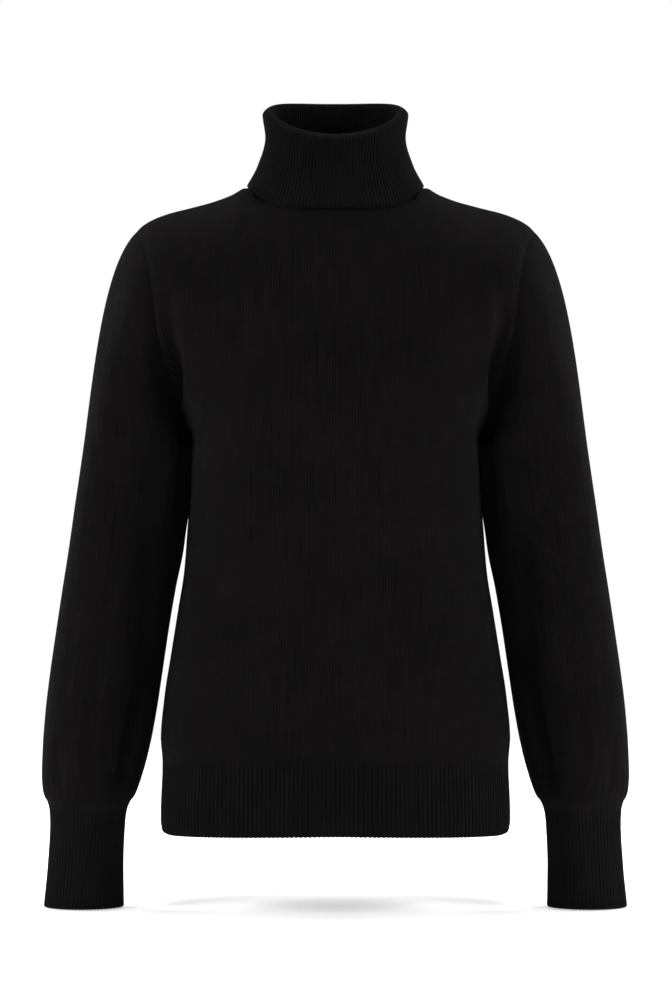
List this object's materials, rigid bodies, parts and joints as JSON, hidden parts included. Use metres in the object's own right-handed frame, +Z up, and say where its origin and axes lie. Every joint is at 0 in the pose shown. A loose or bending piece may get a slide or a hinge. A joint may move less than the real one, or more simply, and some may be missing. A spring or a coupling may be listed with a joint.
{
  "type": "turtleneck sweater",
  "caption": "Long-sleeved knitted turtleneck sweater, filled out as worn: plain panels and set-in sleeves with ribbed fold-over collar, hem band and cuffs.",
  "frame": {"origin": "midway between the two neck points, where the shoulder seams meet the collar; the wearer's shoulders carry it there", "axes": "+Z up along the wearer's neck, -Y out of the sweater's front, +X towards the wearer's left sleeve"},
  "size_m": [0.5608, 0.2386, 0.7755],
  "materials": {
    "jersey": "matt black plain knit with a fine nap",
    "rib": "matt black ribbed knit"
  },
  "bodies": {
    "root": {"front": "jersey", "back": "jersey", "sleeve_left": "jersey", "sleeve_right": "jersey", "front_hem_rib": "rib", "back_hem_rib": "rib", "cuff_left": "rib", "cuff_right": "rib", "collar": "rib"}
  },
  "joints": []
}
